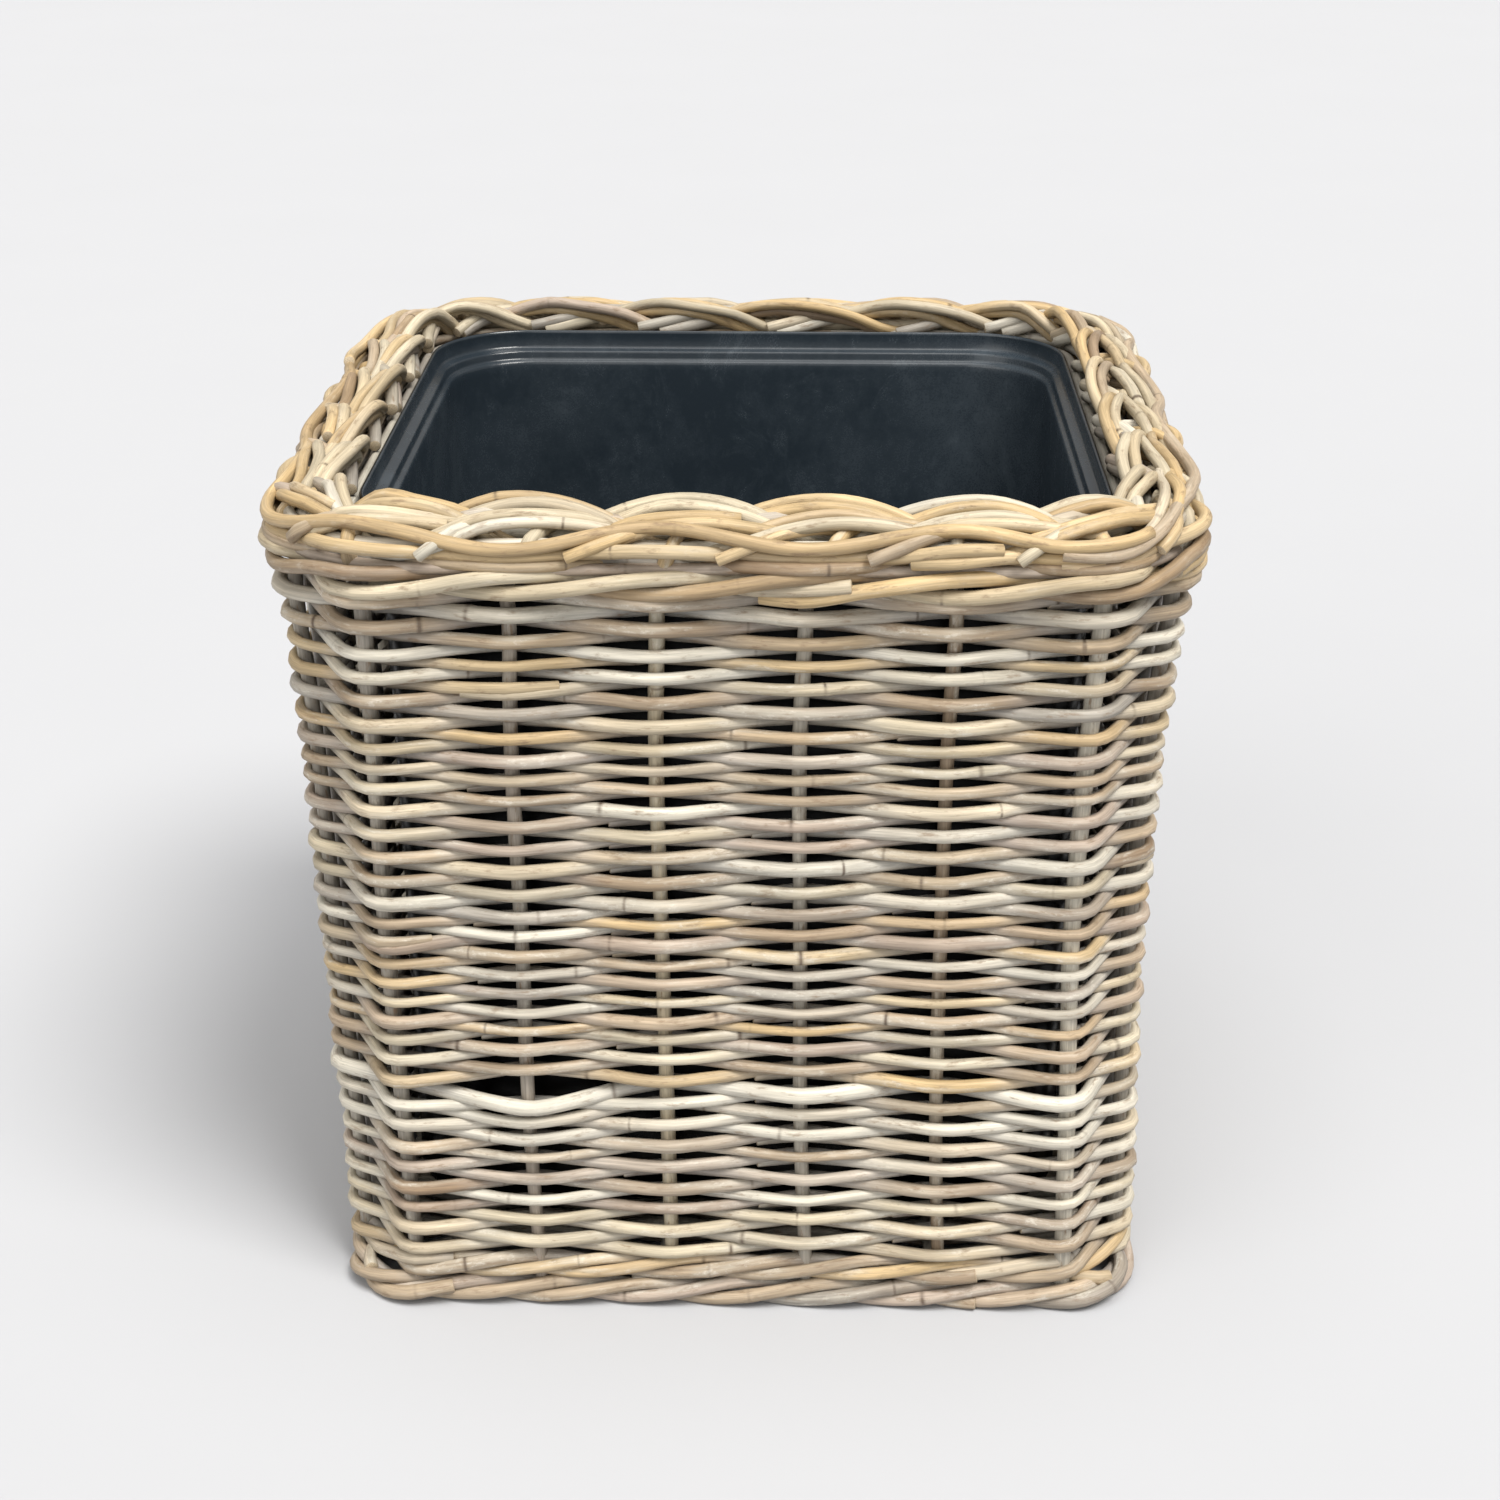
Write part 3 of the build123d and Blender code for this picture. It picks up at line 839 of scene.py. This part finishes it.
def rod_end(index, twin, slide, long, low):
    """Line of a finished rod from under the plait down to its cut end."""
    start = index - 0.30 + 0.12 * twin + slide
    guide = ((start - 0.2, -6.0, 478.0), (start, -12.0, low + 9.0),
             (start + 0.5 * long, -17.5, low + 4.6), (start + long, -20.8, low))
    return RIM.space(*through(guide, 8).T)


def make_rod_ends():
    """Cut ends of finished rods at the opening, and a short rung across the rim at each stake."""
    rng = np.random.default_rng(SEEDS["ends"])
    bundle = Bundle()
    for index in range(STAKES):
        for twin in range(1 + int(rng.random() < TWIN_CHANCE)):
            slide = rng.uniform(-0.04, 0.04)
            long = rng.uniform(0.46, 0.64)
            low = END_HEIGHT + 3.0 * twin + rng.uniform(-1.0, 1.0)
            line = rod_end(index, twin, slide, long, low)
            bundle.rod(rng, line, rng.uniform(3.6, 4.0), STUB_MIX)
        slant = rng.uniform(0.10, 0.24)
        rung = np.array([(index + RUNG_PLACE + slant * k, offset, z)
                         for k, (offset, z) in enumerate(RUNG)])
        rung[:, 2] += rng.uniform(-0.6, 0.6)
        bundle.rod(rng, RIM.space(*through(rung, 6).T), rng.uniform(3.1, 3.6), RUNG_MIX)
    bundle.piece("rim_rod_ends", RIM_CANE, "rattan_rim", RIM_NODES)


# ---------------------------------------------------------------- top wale

WALE_ROD = 3.8
# Offset and rise of a wale rod at three stakes in a row: behind one, in front of two
WALE_PATTERN = ((-9.0, -4.5), (8.6, -9.4), (8.8, 0.6))


def make_top_wale():
    """Three rods twined round the stakes, which lock the top of the wall."""
    rng = np.random.default_rng(SEEDS["wale"])
    bundle = Bundle()
    middle = (WALE_LOW[2] + WALE_HIGH[2]) / 2
    for rod in range(3):
        turn = [WALE_PATTERN[(i + rod) % 3] for i in range(STAKES)]
        offset, rise = np.array(turn, float).T
        rise = rise + rng.normal(0, 0.5, STAKES)
        seam = int(rng.integers(10, 15))
        for start, end in ((rod * 3, rod * 3 + seam), (rod * 3 + seam, rod * 3 + STAKES)):
            index = np.linspace(start - 0.3, end + 0.3, int((end - start) * SPAN_STEPS))
            z = middle + round_the_ring(rise, index) + lap(index, start, end, WALE_ROD)
            line = WALL.space(index, round_the_ring(offset, index) + lean(z), z)
            bundle.rod(rng, line, WALE_ROD * rng.uniform(0.94, 1.06), RAIL_MIX)
    bundle.piece("top_wale_rods", RIM_CANE, "rattan_wale", ["top_wale"])


# ---------------------------------------------------------------- foot and base

FOOT_CORNER = 34.0           # plan radius of the foot's corners
FOOT_ROD = 4.1
LOWER_OUT, UPPER_OUT = 1.6, 0.8                 # offset of each rope from its track
UPPER_PHASE = 0.35           # turn of the upper rope against the lower, in half turns
PLIES = 3                    # rods in a rope
ROPE_REACH = 1.16            # distance of a ply from the middle of its rope, in rod radii
BASE_PITCH = 7.6             # from one rod of the base to the next
BASE_ROD = 3.5
BASE_MARGIN = 5.0            # the base rods stop this far inside the base
BASE_BULGE = 2.9             # how far a base rod stands off a stick's face


def rope(rng, bundle, track, offset, z, start, radius):
    """Rods laid into a rope round a track, which rises to the right where it shows outside."""
    reach = ROPE_REACH * radius
    for ply in range(PLIES):
        seam = int(rng.integers(9, 15))
        phase = start + 2 * ply / PLIES
        for first, last in ((ply * 2, ply * 2 + seam), (ply * 2 + seam, ply * 2 + STAKES)):
            index = np.linspace(first - 0.3, last + 0.3, int((last - first) * SPAN_STEPS))
            turn = pi * (index + phase)
            uneven = 1 + 0.14 * wander(rng, index, 5.0)
            aside = reach * np.cos(turn) + 0.6 * lap(index, first, last, radius)
            line = track.space(index, offset + aside, z + reach * uneven * np.sin(turn))
            # the inward turn of each ply is greyed with painted shade
            bundle.rod(rng, line, radius * rng.uniform(0.9, 1.06), FOOT_MIX, knots=(70, 200),
                       deep=np.clip(0.1 - np.cos(turn), 0, 1))


def make_foot():
    """Two ropes of cane, one on the other; the lower is the one that stands."""
    rng = np.random.default_rng(SEEDS["foot"])
    low = FOOT_LOW[2] + 2.2 * FOOT_ROD
    high = FOOT_HIGH[2] - 2.0 * FOOT_ROD
    track = Track(STAKE_LINE, ROUND * FOOT_CORNER, FOOT_CORNER)
    bundle = Bundle()
    rope(rng, bundle, track, LOWER_OUT, low, 0.0, FOOT_ROD)
    rope(rng, bundle, WALL, UPPER_OUT, high, UPPER_PHASE, 0.95 * FOOT_ROD)
    for corner in range(1, 5):
        end = corner * PER_SIDE - 0.5
        guide = ((end - 0.7, -13.0, low + 6), (end - 0.35, -6.0, low + 7), (end, 3.0, low + 5))
        bundle.rod(rng, track.space(*through(guide, 6).T), FOOT_ROD, FOOT_MIX)
    bundle.piece("foot_rods", FOOT_CANE, "rattan_foot", ["foot_border"])


def make_base():
    """Six thick sticks from front to back, with rods woven across them."""
    rng = np.random.default_rng(SEEDS["base"])
    middle = (STICK_LOW[2] + STICK_HIGH[2]) / 2
    stick_radius = (STICK_HIGH[2] - STICK_LOW[2]) / 2
    sticks = []
    for number in range(1, PER_SIDE + 1):
        low, high = node_box(f"base_stick_{number}")
        x = (low[0] + high[0]) / 2
        sticks.append(x)
        y = np.linspace(low[1], high[1], 30)
        line = np.stack((x + 0.8 * wander(rng, y - low[1], 300.0), y, np.full_like(y, middle)), -1)
        bundle = Bundle()
        bundle.rod(rng, line, stick_radius * 0.97, STAKE_MIX)
        bundle.piece(f"cane_base_stick_{number}", BASE_CANE, "rattan_base", [f"base_stick_{number}"])
    edge = BASE_HIGH[0] - BASE_MARGIN
    stops = np.array([-edge, *sticks, edge])
    bundle = Bundle()
    rows = np.arange(BASE_LOW[1] + BASE_MARGIN, BASE_HIGH[1] - BASE_MARGIN + 1, BASE_PITCH)
    for row, y in enumerate(rows):
        sides = np.array([(-1.0) ** (row + k) for k in range(len(stops))])
        sides[0] = sides[-1] = 0.0
        z = middle + sides * (stick_radius + BASE_BULGE)
        line = through(np.stack((stops, np.full_like(stops, y), z), -1), 8)
        line[:, 1] += 0.4 * wander(rng, measured(line), 160.0)
        bundle.rod(rng, line, BASE_ROD * rng.uniform(0.9, 1.05), STAKE_MIX)
    bundle.piece("base_weave_rods", BASE_CANE, "rattan_base", ["base_weave"])


# ---------------------------------------------------------------- liner

LINER_WALL = 2.5
COLLAR_EXTRA = 4.0           # the collar stands over the CAD's by this
CORNER_STEPS, WALL_STEPS = 14, 10
BOW = 0.0030                 # how far the walls draw in at half height, of their width


def liner_profile():
    """Half width, corner radius and height of each square ring of the liner.

    The rings go from the middle of the floor up the outside, over the lip and down again.
    """
    bottom, top, outer = LINER_LOW[2], LINER_HIGH[2], LINER_HIGH[0]
    lip = top + COLLAR_EXTRA
    floor_and_heel = ((120, 20, bottom), (170, 24, bottom), (178, 32, bottom + 1.2),
                      (184.5, 37, bottom + 4.6), (188.4, 41, bottom + 9.4), (190, 42, bottom + 15))
    wall = ((191.4, 46, bottom + 130), (192.9, 50, bottom + 260), (194.2, 53, top - 22))
    lower_ledge = ((194.5, 53.5, top - 18.2), (194.8, 53.7, top - 16.8), (195.6, 54.2, top - 15.9),
                   (196.8, 54.8, top - 15.5), (197.6, 55.2, top - 14.9), (197.9, 55.5, top - 14))
    upper_ledge = ((198.1, 55.6, top - 11.2), (198.4, 55.8, top - 10.3), (199.2, 56.4, top - 9.8),
                   (202, 58.4, top - 9.3), (203.4, 59.4, top - 8.6), (outer, 60, top - 7.4))
    collar = ((outer, 60, lip - 3.5), (outer, 60, lip - 1.2), (outer - 0.7, 59.6, lip - 0.3))
    outside = (*floor_and_heel, *wall, *lower_ledge, *upper_ledge, *collar)
    inside = [(half - LINER_WALL, corner - LINER_WALL, z + LINER_WALL * 0.55)
              for half, corner, z in outside[::-1]]
    inside[0] = (outer - LINER_WALL + 0.7, 58.2, lip - 0.3)
    inside[1] = (outer - LINER_WALL, 57.8, lip - 1.4)
    inside[-2] = (170 - LINER_WALL, 22, bottom + LINER_WALL)
    inside[-1] = (118, 18, bottom + LINER_WALL)
    return outside, [*outside, (outer - LINER_WALL / 2, 59, lip), *inside]


def square_ring(half, corner, z):
    """Points of a square with round corners, seen from above and walked anticlockwise."""
    flat = half - corner
    ring = []
    for turn in range(4):
        side = [(-flat + 2 * flat * k / WALL_STEPS, -half) for k in range(WALL_STEPS)]
        for k in range(CORNER_STEPS):
            a = pi / 2 * k / CORNER_STEPS
            side.append((flat + corner * sin(a), -flat - corner * cos(a)))
        for x, y in side:
            for _ in range(turn):
                x, y = -y, x
            ring.append((x, y, z))
    return ring


def make_liner():
    """Moulded tub: floor, rounded heel, drafted wall, two small ledges and upright collar."""
    outside, profile = liner_profile()
    bottom, top = LINER_LOW[2], LINER_HIGH[2]
    verts = np.array([square_ring(*ring) for ring in profile]).reshape(-1, 3)
    count = 4 * (CORNER_STEPS + WALL_STEPS)
    height = (verts[:, 2] - bottom) / (top - bottom)
    bow = 1 - BOW * np.sin(pi * np.clip(height, 0, 0.93) / 0.93)
    verts[:, :2] *= bow[:, None]
    faces = []
    for ring in range(len(profile) - 1):
        for k in range(count):
            a, b = ring * count + k, ring * count + (k + 1) % count
            faces.append((a, b, b + count, a + count))
    faces.append(tuple(range(count))[::-1])
    last = (len(profile) - 1) * count
    faces.append(tuple(last + k for k in range(count)))
    mesh = bpy.data.meshes.new("liner_tub")
    mesh.from_pydata([tuple(v) for v in verts * MM], [], faces)
    mesh.polygons.foreach_set("use_smooth", np.ones(len(mesh.polygons), bool))
    within = np.repeat(np.arange(len(profile)) > len(outside), count).astype(np.float32)
    mesh.attributes.new("within", "FLOAT", "POINT").data.foreach_set("value", within)
    mesh.materials.append(LINER_PLASTIC)
    mesh.update()
    settle(mesh, "moulded_liner", ["liner"], "liner_tub")


# ---------------------------------------------------------------- stage

# Camera: where it looks, in millimetres, and from which angles round that point
CAMERA_PITCH = 23.33
CAMERA_YAW = -1.32
CAMERA_DISTANCE = 1622.0
CAMERA_TARGET = (4.6, 0.0, 254.2)
CAMERA_LENS, CAMERA_SENSOR = 62.2, 36.0
# Lights: azimuth from the front to the right, elevation, spread, strength, colour
LIGHTS = {"key": (43, 58, 26, 3.15, (1.0, 0.97, 0.925)),
          "fill": (-34, 30, 55, 1.15, (1.0, 0.98, 0.945)),
          "top": (10, 84, 44, 1.25, (1.0, 0.985, 0.96))}
SKY_COLOUR, SKY_STRENGTH = (0.97, 0.94, 0.905, 1.0), 0.40
FLOOR_REACH = 14.0           # metres from the basket to the edge of the floor


def aim(obj, target):
    """Turns a light or camera, where it stands, towards a point."""
    direction = Vector(target) - obj.location
    obj.rotation_euler = direction.to_track_quat("-Z", "Y").to_euler()


def soft_sun(name, azimuth, elevation, spread, strength, colour):
    """Even studio light from a wide part of the sky."""
    light = bpy.data.lights.new(name, "SUN")
    light.angle = radians(spread)
    light.energy = strength
    light.color = colour
    obj = bpy.data.objects.new(name, light)
    bpy.context.scene.collection.objects.link(obj)
    turn, rise = radians(azimuth), radians(elevation)
    obj.location = (3 * cos(rise) * sin(turn), -3 * cos(rise) * cos(turn), 3 * sin(rise))
    aim(obj, (0.0, 0.0, 0.0))


def make_stage():
    """Pale floor, three soft lights and an even sky."""
    mesh = bpy.data.meshes.new("studio_floor")
    r = FLOOR_REACH
    mesh.from_pydata([(-r, -r, 0), (r, -r, 0), (r, r, 0), (-r, r, 0)], [], [(0, 1, 2, 3)])
    mesh.materials.append(floor_material())
    floor = bpy.data.objects.new("studio_floor", mesh)
    bpy.context.scene.collection.objects.link(floor)
    for name, light in LIGHTS.items():
        soft_sun(name, *light)
    world = bpy.data.worlds.new("studio")
    world.use_nodes = True
    sky = world.node_tree.nodes["Background"]
    sky.inputs["Color"].default_value = SKY_COLOUR
    sky.inputs["Strength"].default_value = SKY_STRENGTH
    bpy.context.scene.world = world
    bpy.context.scene.view_settings.view_transform = "Standard"


def make_camera():
    """The photo's point of view."""
    pitch, yaw = radians(CAMERA_PITCH), radians(CAMERA_YAW)
    forward = Vector((sin(yaw) * cos(pitch), cos(yaw) * cos(pitch), -sin(pitch)))
    target = Vector(CAMERA_TARGET) * MM
    data = bpy.data.cameras.new("camera")
    data.lens = CAMERA_LENS
    data.sensor_width = CAMERA_SENSOR
    data.clip_end = 60.0
    camera = bpy.data.objects.new("camera", data)
    bpy.context.scene.collection.objects.link(camera)
    camera.location = target - forward * CAMERA_DISTANCE * MM
    aim(camera, target)
    bpy.context.scene.camera = camera


make_camera()
make_wall()
make_stakes()
make_plait()
make_rim_courses()
make_rod_ends()
make_top_wale()
make_foot()
make_base()
make_liner()
make_stage()
